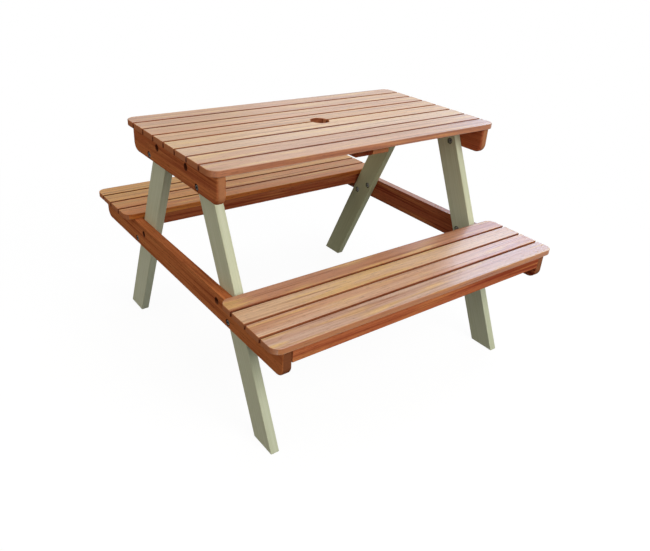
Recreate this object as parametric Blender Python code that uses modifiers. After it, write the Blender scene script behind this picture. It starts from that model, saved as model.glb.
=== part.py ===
"""Kids picnic table: a slatted top and two slatted benches on one bolted wooden frame.

Lengths are in metres. +X runs along the slats, +Y from the front bench to the back bench and
+Z up. The origin is on the ground under the middle of the table top.
"""
import math

import bmesh
import bpy
from mathutils import Matrix, Vector

# Overall sizes
TABLE_HEIGHT = 0.519
SEAT_HEIGHT = 0.291
TOP_LENGTH = 0.720
BENCH_LENGTH = 0.735
FOOT_OFFSET = 0.306

# Slats: one stock for the top, the benches and the flat centre battens
TOP_SLAT_COUNT = 8
BENCH_SLAT_COUNT = 4
SLAT_WIDTH = 0.042
SLAT_THICKNESS = 0.012
SLAT_GAP = 0.005
SLAT_CORNER_RADIUS = 0.020
SLAT_EDGE_EASING = 0.0018

# Frame timber: one stock for the legs, the end battens and the seat rails
FRAME_WIDTH = 0.056
FRAME_THICKNESS = 0.0185
FRAME_CORNER_RADIUS = 0.020
FRAME_EDGE_EASING = 0.0015
TOP_OVERHANG = 0.0135
TOP_BATTEN_SETBACK = 0.0035
RAIL_SETBACK = 0.0055
BENCH_LEG_CLEARANCE = 0.0075

# Aprons and flat battens
APRON_HEIGHT = 0.028
APRON_THICKNESS = 0.0185
APRON_LEG_CLEARANCE = 0.0015
CENTRE_BATTEN_SPACING = 0.002
CENTRE_BATTEN_SETBACK = 0.0075
HIDDEN_EDGE_EASING = 0.001

PARASOL_HOLE_DIAMETER = 0.040

# Leg bolts, each in a counterbore of the board, with a sleeve nut let into the leg's inside
BOLT_DIAMETER = 0.006
BOLT_HEAD_DIAMETER = 0.011
BOLT_HEAD_HEIGHT = 0.0034
BOLT_SOCKET_DIAMETER = 0.005
BOLT_SOCKET_DEPTH = 0.0022
NUT_WALL = 0.0015
NUT_FLANGE_DIAMETER = 0.011
NUT_FLANGE_THICKNESS = 0.0018

# Wood screws, driven up into the slats
SCREW_DIAMETER = 0.0036
SCREW_HEAD_DIAMETER = 0.007
SCREW_HEAD_HEIGHT = 0.002

# Fits
SEAT_GAP = 0.0003
HOLE_CLEARANCE = 0.0003
COUNTERBORE_CLEARANCE = 0.0015
SCREW_RECESS_CLEARANCE = 0.0006
CUT_OVERRUN = 0.004

# Each leg's top is centred this many slat pitches from the middle of the table
LEG_TOP_PITCH_SHARE = 1.5
# Depths as shares of the frame timber's thickness: the two counterbores, the nut and its recess
COUNTERBORE_DEPTH_SHARES = (0.46, 0.23)
NUT_RECESS_SHARE = 0.20
NUT_SLEEVE_SHARE = 0.50
# Each bolt's place, as shares of the frame timber's width, outwards from the leg's centre line
# and up from the middle of the board
BOLT_OUTWARD_SHARES = (-0.30, 0.22)
BOLT_UPWARD_SHARES = (0.17, -0.29)
# Screw depths and places, as shares of the pieces that carry them
SCREW_BITE_SHARE = 0.65
FRAME_SCREW_RECESS_SHARE = 0.50
APRON_SCREW_RECESS_SHARE = 0.20
TOP_SCREW_SHIFT_SHARE = 0.10
APRON_SCREW_SHARES = (-0.30, 0.30)

# Facets
ARC_STEPS = 6
PARASOL_HOLE_SIDES = 28
BOLT_SIDES = 10
SCREW_SIDES = 6
SLAT_EASING_STEPS = 2
FRAME_EASING_STEPS = 1
FULL_TURN = 2.0 * math.pi
QUARTER_TURN = 0.5 * math.pi
WELD_DISTANCE = 0.00001
CREASE_ANGLE = math.radians(35.0)
FLAT_ANGLE = math.radians(1.0)

# Heights and places that follow from the sizes above
SLAT_PITCH = SLAT_WIDTH + SLAT_GAP
TOP_WIDTH = TOP_SLAT_COUNT * SLAT_PITCH - SLAT_GAP
BENCH_WIDTH = BENCH_SLAT_COUNT * SLAT_PITCH - SLAT_GAP
TOP_UNDERSIDE = TABLE_HEIGHT - SLAT_THICKNESS
SEAT_UNDERSIDE = SEAT_HEIGHT - SLAT_THICKNESS
FRAME_TOP = TOP_UNDERSIDE - SEAT_GAP
RAIL_TOP = SEAT_UNDERSIDE - SEAT_GAP
APRON_BOTTOM = RAIL_TOP - APRON_HEIGHT
BOARD_OUTER_X = TOP_LENGTH / 2 - TOP_OVERHANG
BOARD_MIDDLE_X = BOARD_OUTER_X - FRAME_THICKNESS / 2
BOARD_INNER_X = BOARD_OUTER_X - FRAME_THICKNESS
LEG_MIDDLE_X = BOARD_INNER_X - SEAT_GAP - FRAME_THICKNESS / 2

LEG_TOP_OFFSET = LEG_TOP_PITCH_SHARE * SLAT_PITCH
LEG_RUN = FOOT_OFFSET - LEG_TOP_OFFSET
LEG_LEVEL_WIDTH = FRAME_WIDTH / math.cos(math.atan2(LEG_RUN, FRAME_TOP))


def leg_middle_y(height):
    """Distance of a leg's centre line from the middle of the table at this height."""
    return FOOT_OFFSET - LEG_RUN * height / FRAME_TOP


def leg_outer_y(height):
    """Distance of a leg's outer edge from the middle of the table at this height."""
    return leg_middle_y(height) + LEG_LEVEL_WIDTH / 2


BENCH_INNER_Y = leg_outer_y(SEAT_UNDERSIDE) + BENCH_LEG_CLEARANCE
RAIL_END_Y = BENCH_INNER_Y + BENCH_WIDTH - RAIL_SETBACK
TOP_BATTEN_END_Y = TOP_WIDTH / 2 - TOP_BATTEN_SETBACK
APRON_INSIDE_Y = leg_outer_y(APRON_BOTTOM) + APRON_LEG_CLEARANCE
APRON_Y = {"inner": APRON_INSIDE_Y + APRON_THICKNESS / 2, "outer": RAIL_END_Y - APRON_THICKNESS / 2}
CENTRE_BATTEN_X = (CENTRE_BATTEN_SPACING + SLAT_WIDTH) / 2

SIDES = {"left": -1, "right": 1}
ENDS = {"front": -1, "back": 1}

# Colours, as linear red, green and blue
SLAT_COLOURS = (
    (0.70, 0.50, 0.38),
    (0.66, 0.46, 0.34),
    (0.69, 0.47, 0.36),
    (0.72, 0.53, 0.36),
)
BENCH_SLAT_COLOURS = (
    (0.50, 0.27, 0.14),
    (0.64, 0.36, 0.16),
    (0.60, 0.34, 0.20),
    (0.56, 0.32, 0.21),
)
FRAME_COLOUR = (0.22, 0.075, 0.030)
APRON_COLOUR = (0.29, 0.085, 0.035)
CENTRE_BATTEN_COLOURS = {"left": (0.13, 0.030, 0.012), "right": (0.30, 0.095, 0.050)}
PAINT_COLOUR = (0.50, 0.52, 0.36)
BOLT_COLOUR = (0.46, 0.45, 0.44)
SCREW_COLOUR = (0.42, 0.34, 0.18)
WOOD_ROUGHNESS = 0.50
PAINT_ROUGHNESS = 0.55
METAL_ROUGHNESS = 0.35


def clear_scene():
    for item in list(bpy.data.objects):
        bpy.data.objects.remove(item)


def new_collection(name):
    made = bpy.data.collections.new(name)
    bpy.context.scene.collection.children.link(made)
    return made


def new_material(name, colour, roughness=WOOD_ROUGHNESS, metallic=0.0):
    made = bpy.data.materials.new(name)
    made.use_nodes = True
    shader = made.node_tree.nodes["Principled BSDF"]
    shader.inputs["Base Color"].default_value = (*colour, 1.0)
    shader.inputs["Roughness"].default_value = roughness
    shader.inputs["Metallic"].default_value = metallic
    made.diffuse_color = (*colour, 1.0)
    return made


def new_part(name, mesh, finish):
    """An object of the table, standing on the table's origin."""
    made = bpy.data.objects.new(name, mesh)
    TABLE.objects.link(made)
    made.parent = ORIGIN
    if not mesh.materials:
        mesh.materials.append(finish)
    return made


def evaluated_mesh(source, name):
    """The closed mesh that an object with its modifiers, or a curve, comes to."""
    view = bpy.context.evaluated_depsgraph_get()
    mesh = bpy.data.meshes.new_from_object(source.evaluated_get(view))
    mesh.name = name
    shape = bmesh.new()
    shape.from_mesh(mesh)
    bmesh.ops.remove_doubles(shape, verts=shape.verts, dist=WELD_DISTANCE)
    bmesh.ops.dissolve_limit(shape, angle_limit=FLAT_ANGLE, verts=shape.verts, edges=shape.edges)
    bmesh.ops.recalc_face_normals(shape, faces=shape.faces)
    shape.to_mesh(mesh)
    shape.free()
    return mesh


def ease_edges(board, easing, steps):
    bevel = board.modifiers.new("eased edges", "BEVEL")
    bevel.width = easing
    bevel.segments = steps
    bevel.limit_method = "ANGLE"
    bevel.angle_limit = CREASE_ANGLE


def plain_board(name, size, centre, finish, easing, steps=FRAME_EASING_STEPS):
    """A square-cut board, with its size and centre along X, Y and Z."""
    mesh = bpy.data.meshes.new(name)
    shape = bmesh.new()
    bmesh.ops.create_cube(shape, size=1.0, matrix=Matrix.Diagonal((*size, 1.0)))
    shape.to_mesh(mesh)
    shape.free()
    board = new_part(name, mesh, finish)
    board.location = centre
    ease_edges(board, easing, steps)
    return board


def outline_points(corners):
    """Points round an outline of (x, y, radius) corners, with an arc where a radius isn't zero."""
    points = []
    for index, (x, y, radius) in enumerate(corners):
        corner = Vector((x, y))
        if not radius:
            points.append(corner)
            continue
        before = (Vector(corners[index - 1][:2]) - corner).normalized()
        after = (Vector(corners[(index + 1) % len(corners)][:2]) - corner).normalized()
        half_angle = before.angle(after) / 2
        centre = corner + (before + after).normalized() * radius / math.sin(half_angle)
        start = corner + before * radius / math.tan(half_angle) - centre
        end = corner + after * radius / math.tan(half_angle) - centre
        sweep = -start.angle_signed(end)
        for step in range(ARC_STEPS + 1):
            points.append(centre + Matrix.Rotation(sweep * step / ARC_STEPS, 2) @ start)
    return points


def shaped_board(name, corners, thickness, finish, easing, steps=FRAME_EASING_STEPS):
    """A board cut to an outline in its own XY plane and as thick as given along its own Z."""
    curve = bpy.data.curves.new(name, "CURVE")
    curve.dimensions = "2D"
    curve.fill_mode = "BOTH"
    curve.extrude = thickness / 2
    points = outline_points(corners)
    spline = curve.splines.new("POLY")
    spline.points.add(len(points) - 1)
    for place, point in zip(spline.points, points):
        place.co = (point.x, point.y, 0.0, 1.0)
    spline.use_cyclic_u = True
    outline = bpy.data.objects.new(name + "_outline", curve)
    TABLE.objects.link(outline)
    mesh = evaluated_mesh(outline, name)
    bpy.data.objects.remove(outline)
    board = new_part(name, mesh, finish)
    ease_edges(board, easing, steps)
    return board


def turned_mesh(name, profile, sides):
    """A solid turned about Z from (radius, height) points that run from its top to its bottom."""
    mesh = bpy.data.meshes.new(name)
    points = [(radius, 0.0, height) for radius, height in profile]
    mesh.from_pydata(points, [(step, step + 1) for step in range(len(points) - 1)], [])
    rod = bpy.data.objects.new(name + "_profile", mesh)
    TABLE.objects.link(rod)
    turn = rod.modifiers.new("turn", "SCREW")
    turn.angle = FULL_TURN
    turn.steps = sides
    turn.render_steps = sides
    turn.use_merge_vertices = True
    turn.merge_threshold = WELD_DISTANCE
    made = evaluated_mesh(rod, name)
    bpy.data.objects.remove(rod)
    made.shade_smooth()
    made.set_sharp_from_angle(angle=CREASE_ANGLE)
    return made


def cut(name, hole, places, boards):
    """Cuts a hole's shape from the boards at each place."""
    shape = bmesh.new()
    for place in places:
        copy = hole.copy()
        copy.transform(place)
        shape.from_mesh(copy)
        bpy.data.meshes.remove(copy)
    mesh = bpy.data.meshes.new(name)
    shape.to_mesh(mesh)
    shape.free()
    cutter = bpy.data.objects.new(name, mesh)
    CUTTERS.objects.link(cutter)
    cutter.hide_render = True
    cutter.display_type = "WIRE"
    for board in boards:
        hole_cut = board.modifiers.new(name, "BOOLEAN")
        hole_cut.operation = "DIFFERENCE"
        hole_cut.solver = "EXACT"
        hole_cut.object = cutter


def slat(name, length, y, top, rounded, finish):
    """A slat at this distance along Y; rounded says whether its low and high side have round corners."""
    centre = (0.0, y, top - SLAT_THICKNESS / 2)
    if not any(rounded):
        size = (length, SLAT_WIDTH, SLAT_THICKNESS)
        return plain_board(name, size, centre, finish, SLAT_EDGE_EASING, SLAT_EASING_STEPS)
    low, high = [SLAT_CORNER_RADIUS if side else 0.0 for side in rounded]
    corners = [
        (-length / 2, -SLAT_WIDTH / 2, low),
        (length / 2, -SLAT_WIDTH / 2, low),
        (length / 2, SLAT_WIDTH / 2, high),
        (-length / 2, SLAT_WIDTH / 2, high),
    ]
    made = shaped_board(name, corners, SLAT_THICKNESS, finish, SLAT_EDGE_EASING, SLAT_EASING_STEPS)
    made.location = centre
    return made


def make_top():
    """The top's slats, numbered from the back edge to the front edge."""
    slats, middles = [], []
    for index in range(TOP_SLAT_COUNT):
        name = f"top_slat_{index + 1}"
        y = (TOP_WIDTH - SLAT_WIDTH) / 2 - index * SLAT_PITCH
        rounded = (index == TOP_SLAT_COUNT - 1, index == 0)
        finish = new_material(name + "_wood", SLAT_COLOURS[index % len(SLAT_COLOURS)])
        slats.append(slat(name, TOP_LENGTH, y, TABLE_HEIGHT, rounded, finish))
        middles.append(y)
    return slats, middles


def make_bench(end, sign):
    """A bench's slats, numbered from the table outwards."""
    slats, middles = [], []
    for index in range(BENCH_SLAT_COUNT):
        name = f"{end}_bench_slat_{index + 1}"
        y = sign * (BENCH_INNER_Y + SLAT_WIDTH / 2 + index * SLAT_PITCH)
        rounded = (index == 0, index == BENCH_SLAT_COUNT - 1)[::sign]
        finish = new_material(name + "_wood", BENCH_SLAT_COLOURS[index % len(BENCH_SLAT_COLOURS)])
        slats.append(slat(name, BENCH_LENGTH, y, SEAT_HEIGHT, rounded, finish))
        middles.append(y)
    return slats, middles


def stand_across(board, x, y, z):
    """Turns a shaped board to lie in a plane across the slats: its own X along Y, its own Y up."""
    board.rotation_euler = (QUARTER_TURN, 0.0, QUARTER_TURN)
    board.location = (x, y, z)


def edge_board(name, half_length, top, side_sign, finish):
    """A board on edge across the table, outboard of the legs, with its lower corners rounded."""
    half = FRAME_WIDTH / 2
    corners = [
        (-half_length, -half, FRAME_CORNER_RADIUS),
        (half_length, -half, FRAME_CORNER_RADIUS),
        (half_length, half, 0.0),
        (-half_length, half, 0.0),
    ]
    board = shaped_board(name, corners, FRAME_THICKNESS, finish, FRAME_EDGE_EASING)
    stand_across(board, side_sign * BOARD_MIDDLE_X, 0.0, top - half)
    return board


def make_leg(name, side_sign, end_sign, finish):
    """A leaning leg, cut level at the ground and under the top's slats."""
    half = LEG_LEVEL_WIDTH / 2
    lean = -end_sign * LEG_RUN
    corners = [
        (-half, 0.0, 0.0),
        (half, 0.0, 0.0),
        (lean + half, FRAME_TOP, 0.0),
        (lean - half, FRAME_TOP, 0.0),
    ]
    board = shaped_board(name, corners, FRAME_THICKNESS, finish, FRAME_EDGE_EASING)
    stand_across(board, side_sign * LEG_MIDDLE_X, end_sign * FOOT_OFFSET, 0.0)
    return board


def nut_heights():
    """Heights of the nut recess's floor and of the sleeve's outer end, below the board's face."""
    inside = -2 * FRAME_THICKNESS - SEAT_GAP
    recess = inside + NUT_RECESS_SHARE * FRAME_THICKNESS
    return recess, recess + NUT_SLEEVE_SHARE * FRAME_THICKNESS


def bolt_mesh(depth):
    """A socket-head bolt with its sleeve nut. The board's outer face is at height zero."""
    seat = SEAT_GAP - depth
    top = seat + BOLT_HEAD_HEIGHT
    recess, sleeve_end = nut_heights()
    flange = recess - SEAT_GAP
    face = flange - NUT_FLANGE_THICKNESS
    shank = BOLT_DIAMETER / 2
    profile = [
        (0.0, top - BOLT_SOCKET_DEPTH),
        (BOLT_SOCKET_DIAMETER / 2, top - BOLT_SOCKET_DEPTH),
        (BOLT_SOCKET_DIAMETER / 2, top),
        (BOLT_HEAD_DIAMETER / 2, top),
        (BOLT_HEAD_DIAMETER / 2, seat),
        (shank, seat),
        (shank, sleeve_end),
        (shank + NUT_WALL, sleeve_end),
        (shank + NUT_WALL, flange),
        (NUT_FLANGE_DIAMETER / 2, flange),
        (NUT_FLANGE_DIAMETER / 2, face),
        (0.0, face),
    ]
    return turned_mesh("bolt", profile, BOLT_SIDES)


def bolt_hole_mesh(depth):
    """The stepped hole through board and leg that a bolt and its nut fit."""
    recess, sleeve_end = nut_heights()
    outside = CUT_OVERRUN
    inside = -2 * FRAME_THICKNESS - SEAT_GAP - CUT_OVERRUN
    shank = BOLT_DIAMETER / 2 + HOLE_CLEARANCE
    counterbore = BOLT_HEAD_DIAMETER / 2 + COUNTERBORE_CLEARANCE
    nut_recess = NUT_FLANGE_DIAMETER / 2 + COUNTERBORE_CLEARANCE
    profile = [
        (0.0, outside),
        (counterbore, outside),
        (counterbore, -depth),
        (shank, -depth),
        (shank, sleeve_end + HOLE_CLEARANCE),
        (shank + NUT_WALL, sleeve_end + HOLE_CLEARANCE),
        (shank + NUT_WALL, recess),
        (nut_recess, recess),
        (nut_recess, inside),
        (0.0, inside),
    ]
    return turned_mesh("bolt_hole", profile, BOLT_SIDES)


def bolt_joint(name, first_number, side_sign, end_sign, middle, boards):
    """The two bolts that hold a leg to the board whose middle is at this height."""
    turn = Matrix.Rotation(side_sign * QUARTER_TURN, 4, "Y")
    for index, depth_share in enumerate(COUNTERBORE_DEPTH_SHARES):
        height = middle + BOLT_UPWARD_SHARES[index] * FRAME_WIDTH
        outward = leg_middle_y(height) + BOLT_OUTWARD_SHARES[index] * FRAME_WIDTH
        place = Vector((side_sign * BOARD_OUTER_X, end_sign * outward, height))
        bolt_name = f"{name}_bolt_{first_number + index}"
        bolt = new_part(bolt_name, BOLTS[depth_share], BOLT_FINISH)
        bolt.location = place
        bolt.rotation_euler.y = side_sign * QUARTER_TURN
        cut(bolt_name + "_hole", BOLT_HOLES[depth_share], [Matrix.Translation(place) @ turn], boards)


def screw_meshes(bottom, recess, slat_underside):
    """A wood screw and its hole, up from a board's underside, with heights as on the table."""
    seat = bottom + recess - SEAT_GAP
    tip = slat_underside + SCREW_BITE_SHARE * SLAT_THICKNESS
    shank = SCREW_DIAMETER / 2
    head = SCREW_HEAD_DIAMETER / 2
    screw = [
        (0.0, tip),
        (shank, tip),
        (shank, seat),
        (head, seat),
        (head, seat - SCREW_HEAD_HEIGHT),
        (0.0, seat - SCREW_HEAD_HEIGHT),
    ]
    hole = [
        (0.0, tip + HOLE_CLEARANCE),
        (shank + HOLE_CLEARANCE, tip + HOLE_CLEARANCE),
        (shank + HOLE_CLEARANCE, bottom + recess),
        (head + SCREW_RECESS_CLEARANCE, bottom + recess),
        (head + SCREW_RECESS_CLEARANCE, bottom - CUT_OVERRUN),
        (0.0, bottom - CUT_OVERRUN),
    ]
    return turned_mesh("screw", screw, SCREW_SIDES), turned_mesh("screw_hole", hole, SCREW_SIDES)


def flat_batten_screws(name, places, board_bottom, slat_underside, boards):
    """Short screws through a flat batten, one object each, and their holes."""
    recess = SCREW_HEAD_HEIGHT + 2 * SEAT_GAP
    screw, hole = screw_meshes(board_bottom, recess, slat_underside)
    for number, (x, y) in enumerate(places, start=1):
        new_part(f"{name}_{number}", screw, SCREW_FINISH).location = (x, y, 0.0)
    spots = [Matrix.Translation((x, y, 0.0)) for x, y in places]
    cut(name + "_holes", hole, spots, boards)


def screw_holes(name, places, board_bottom, recess, slat_underside, boards):
    """The holes of the long slat screws, which are deep inside the board on edge."""
    hole = screw_meshes(board_bottom, recess, slat_underside)[1]
    spots = [Matrix.Translation((x, y, 0.0)) for x, y in places]
    cut(name, hole, spots, boards)


def make_frame():
    """End battens and seat rails with the four legs bolted to their inside."""
    wood = new_material("frame_wood", FRAME_COLOUR)
    paint = new_material("leg_paint", PAINT_COLOUR, PAINT_ROUGHNESS)
    top_battens, rails = [], []
    for side, side_sign in SIDES.items():
        batten = edge_board(f"{side}_top_batten", TOP_BATTEN_END_Y, FRAME_TOP, side_sign, wood)
        rail = edge_board(f"{side}_seat_rail", RAIL_END_Y, RAIL_TOP, side_sign, wood)
        for end, end_sign in ENDS.items():
            name = f"{end}_{side}_leg"
            leg = make_leg(name, side_sign, end_sign, paint)
            joints = ((batten, FRAME_TOP), (rail, RAIL_TOP))
            for index, (board, top) in enumerate(joints):
                first_number = 1 + index * len(COUNTERBORE_DEPTH_SHARES)
                bolt_joint(name, first_number, side_sign, end_sign, top - FRAME_WIDTH / 2, [board, leg])
        top_battens.append(batten)
        rails.append(rail)
    return top_battens, rails


def make_centre_battens():
    """Two flat boards side by side across the middle of the top."""
    size = (SLAT_WIDTH, TOP_WIDTH - 2 * CENTRE_BATTEN_SETBACK, SLAT_THICKNESS)
    boards = []
    for side, sign in SIDES.items():
        name = f"{side}_centre_batten"
        finish = new_material(name + "_wood", CENTRE_BATTEN_COLOURS[side])
        centre = (sign * CENTRE_BATTEN_X, 0.0, FRAME_TOP - SLAT_THICKNESS / 2)
        boards.append(plain_board(name, size, centre, finish, HIDDEN_EDGE_EASING))
    return boards


def make_aprons(end, sign, finish):
    """The two boards on edge under a bench, from seat rail to seat rail."""
    size = (2 * (BOARD_INNER_X - SEAT_GAP), APRON_THICKNESS, APRON_HEIGHT)
    aprons = []
    for place, y in APRON_Y.items():
        centre = (0.0, sign * y, RAIL_TOP - APRON_HEIGHT / 2)
        aprons.append(plain_board(f"{end}_bench_{place}_apron", size, centre, finish, HIDDEN_EDGE_EASING))
    return aprons


def make_bench_batten(end, sign, finish):
    """The flat batten across the middle of a bench, between its aprons."""
    length = APRON_Y["outer"] - APRON_Y["inner"] - APRON_THICKNESS - 2 * SEAT_GAP
    centre = (0.0, sign * (APRON_Y["outer"] + APRON_Y["inner"]) / 2, RAIL_TOP - SLAT_THICKNESS / 2)
    size = (SLAT_WIDTH, length, SLAT_THICKNESS)
    return plain_board(f"{end}_bench_centre_batten", size, centre, finish, HIDDEN_EDGE_EASING)


def cut_parasol_hole(boards):
    radius = PARASOL_HOLE_DIAMETER / 2
    high = TABLE_HEIGHT + CUT_OVERRUN
    low = FRAME_TOP - SLAT_THICKNESS - CUT_OVERRUN
    profile = [(0.0, high), (radius, high), (radius, low), (0.0, low)]
    plug = turned_mesh("parasol_hole", profile, PARASOL_HOLE_SIDES)
    cut("parasol_hole", plug, [Matrix()], boards)


def screw_down_top(slats, middles, top_battens, centre_battens):
    """Screws from below: long ones in the end battens, short ones in alternate centre battens."""
    shift = TOP_SCREW_SHIFT_SHARE * SLAT_WIDTH
    lines = [y + math.copysign(shift, y) for y in middles]
    places = [(sign * BOARD_MIDDLE_X, y) for sign in SIDES.values() for y in lines]
    recess = FRAME_SCREW_RECESS_SHARE * FRAME_WIDTH
    screw_holes("top_batten_screw_holes", places, FRAME_TOP - FRAME_WIDTH, recess, TOP_UNDERSIDE,
                [*slats, *top_battens])
    signs = list(SIDES.values())
    places = [(signs[index % len(signs)] * CENTRE_BATTEN_X, y) for index, y in enumerate(lines)]
    flat_batten_screws("top_screw", places, FRAME_TOP - SLAT_THICKNESS, TOP_UNDERSIDE,
                       [*slats, *centre_battens])


def screw_down_bench(end, sign, slats, middles, rails, aprons, batten):
    """Screws from below: long ones in the rails and aprons, short ones in the flat batten."""
    places = [(side_sign * BOARD_MIDDLE_X, y) for side_sign in SIDES.values() for y in middles]
    recess = FRAME_SCREW_RECESS_SHARE * FRAME_WIDTH
    screw_holes(f"{end}_rail_screw_holes", places, RAIL_TOP - FRAME_WIDTH, recess, SEAT_UNDERSIDE,
                [*slats, *rails])
    places = [(share * BENCH_LENGTH, sign * y) for share in APRON_SCREW_SHARES for y in APRON_Y.values()]
    recess = APRON_SCREW_RECESS_SHARE * APRON_HEIGHT
    screw_holes(f"{end}_apron_screw_holes", places, APRON_BOTTOM, recess, SEAT_UNDERSIDE,
                [slats[0], slats[-1], *aprons])
    places = [(0.0, y) for y in middles[1:-1]]
    flat_batten_screws(f"{end}_bench_screw", places, RAIL_TOP - SLAT_THICKNESS, SEAT_UNDERSIDE,
                       [*slats[1:-1], batten])


clear_scene()
TABLE = new_collection("kids_picnic_table")
CUTTERS = new_collection("cutters")
ORIGIN = bpy.data.objects.new("table_origin", None)
TABLE.objects.link(ORIGIN)
BOLT_FINISH = new_material("bolt_steel", BOLT_COLOUR, METAL_ROUGHNESS, 1.0)
SCREW_FINISH = new_material("screw_steel", SCREW_COLOUR, METAL_ROUGHNESS, 1.0)
BOLTS = {share: bolt_mesh(share * FRAME_THICKNESS) for share in COUNTERBORE_DEPTH_SHARES}
BOLT_HOLES = {share: bolt_hole_mesh(share * FRAME_THICKNESS) for share in COUNTERBORE_DEPTH_SHARES}

top_slats, top_middles = make_top()
end_battens, seat_rails = make_frame()
middle_battens = make_centre_battens()
centre_slats = top_slats[TOP_SLAT_COUNT // 2 - 1:TOP_SLAT_COUNT // 2 + 1]
cut_parasol_hole([*centre_slats, *middle_battens])
screw_down_top(top_slats, top_middles, end_battens, middle_battens)

for bench, outward in ENDS.items():
    support_wood = new_material(f"{bench}_bench_support_wood", APRON_COLOUR)
    bench_slats, bench_middles = make_bench(bench, outward)
    bench_aprons = make_aprons(bench, outward, support_wood)
    bench_batten = make_bench_batten(bench, outward, support_wood)
    screw_down_bench(bench, outward, bench_slats, bench_middles, seat_rails, bench_aprons, bench_batten)
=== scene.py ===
# %% [markdown]
# # A child's picnic table in oiled wood
# The real thing is one piece of furniture: eight slats make a small table top, four slats make
# each bench, and boards on edge tie them to four leaning legs that are painted sage green. The
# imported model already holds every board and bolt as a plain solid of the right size. So the lesson
# loads it first, and each finer piece then takes its place from the solid that it stands for.

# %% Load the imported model
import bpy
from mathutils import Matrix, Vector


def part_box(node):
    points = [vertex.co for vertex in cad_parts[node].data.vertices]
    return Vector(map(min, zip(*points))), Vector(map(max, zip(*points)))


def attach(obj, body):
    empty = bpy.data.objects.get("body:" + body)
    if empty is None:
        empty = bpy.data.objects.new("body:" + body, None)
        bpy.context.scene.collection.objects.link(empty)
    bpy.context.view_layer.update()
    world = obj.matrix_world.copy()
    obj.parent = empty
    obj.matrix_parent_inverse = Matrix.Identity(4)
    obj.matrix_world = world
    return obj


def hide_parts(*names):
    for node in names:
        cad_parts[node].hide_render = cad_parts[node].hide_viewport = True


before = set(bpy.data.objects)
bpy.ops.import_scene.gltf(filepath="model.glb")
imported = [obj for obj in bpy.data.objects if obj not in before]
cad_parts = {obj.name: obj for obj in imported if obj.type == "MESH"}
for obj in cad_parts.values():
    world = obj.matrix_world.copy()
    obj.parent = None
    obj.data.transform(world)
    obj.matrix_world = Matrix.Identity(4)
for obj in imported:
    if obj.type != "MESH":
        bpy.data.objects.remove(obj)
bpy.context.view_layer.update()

# %% Modules and words used all the way through
import math
import random

import bmesh
import bpy
from mathutils import Matrix, Vector

MM = 0.001
QUARTER_TURN = math.pi / 2
SIDES = {"left": -1, "right": 1}
ENDS = {"front": -1, "back": 1}

# %% [markdown]
# ## Small helpers
# Colours are easiest to read as the hex values of a paint chart, but a shader adds up light, so
# each value is first turned to linear. Materials are graphs of nodes. They could be wired by hand
# in the editor, or each kind of node could get a function of its own. One helper that adds any
# node, sets its choices and fills its inputs keeps the recipes short. Two more start a material
# and put a new object in the scene.

# %% Colour, node and object helpers
def linear(chart_colour):
    """A colour written as #RRGGBB in sRGB, as linear red, green, blue and full cover."""
    shares = [int(chart_colour[start:start + 2], 16) / 255 for start in (1, 3, 5)]
    light = [s / 12.92 if s <= 0.04045 else ((s + 0.055) / 1.055) ** 2.4 for s in shares]
    return (*light, 1.0)


def add(tree, kind, inputs=None, **settings):
    """A new node. An input takes a value, or the output that feeds it."""
    node = tree.nodes.new(kind)
    for name, value in settings.items():
        setattr(node, name, value)
    for name, value in (inputs or {}).items():
        if isinstance(value, bpy.types.NodeSocket):
            tree.links.new(value, node.inputs[name])
        else:
            node.inputs[name].default_value = value
    return node


def new_material(name):
    """A new material, its graph of nodes and its main shader."""
    made = bpy.data.materials.new(name)
    made.use_nodes = True
    return made, made.node_tree, made.node_tree.nodes["Principled BSDF"]


def placed(name, data):
    """A new object in the scene that shows this camera, lamp or mesh."""
    item = bpy.data.objects.new(name, data)
    bpy.context.scene.collection.objects.link(item)
    return item


print("mid grey in linear light:", round(linear("#808080")[0], 3))

# %% [markdown]
# ## Camera
# The photograph was taken from the front left, a little above the table and turned slightly, so
# that upright edges lean. The place and the angles were found by matching the corners of the
# boards. A camera can be aimed with a Track To constraint, but that leaves no room for the small
# roll, so its three axes are worked out and written to its matrix.

# %% Place the camera
CAMERA_PLACE = Vector((-0.8208, -1.0754, 0.8760))
CAMERA_AZIMUTH = math.radians(-38.80)
CAMERA_DROP = math.radians(28.54)
CAMERA_ROLL = math.radians(3.92)
CAMERA_LENS = 34.91

camera_data = bpy.data.cameras.new("photo_camera")
camera_data.lens = CAMERA_LENS
camera = placed("photo_camera", camera_data)
bpy.context.scene.camera = camera
level = Vector((math.cos(CAMERA_AZIMUTH), math.sin(CAMERA_AZIMUTH), 0.0))
away = Vector((level.y, -level.x, 0.0)) * math.cos(CAMERA_DROP)
away += Vector((0.0, 0.0, math.sin(CAMERA_DROP)))
axes = Matrix((level, away.cross(level), away)).transposed()
axes = Matrix.Rotation(CAMERA_ROLL, 3, away) @ axes
camera.matrix_world = Matrix.Translation(CAMERA_PLACE) @ axes.to_4x4()
print("camera looks along", -away)

# %% [markdown]
# ## Light
# A product studio has large soft lamps, white paper all round, and little else. Each lamp here is
# an area light, and its power is worked out from how brightly it should light a white card that
# faces it, so that colours render about as they are written. Most of the light comes from high in
# front and from overhead, and a weak warm lamp stands on the left. The cool one on the right and
# the faint one behind it are there for their reflections: oiled wood shows them as a pale bluish
# sheen where the line of sight grazes the slats. A panorama of a studio could do the same, but it
# would be a picture file, and its lamps couldn't be moved. The paper is the world: plain white to
# the camera and in reflections, and a dimmer fill for everything else.

# %% Lamps and surroundings
FILL = 0.31
AIM = Vector((0.0, 0.0, 0.30))
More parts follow.
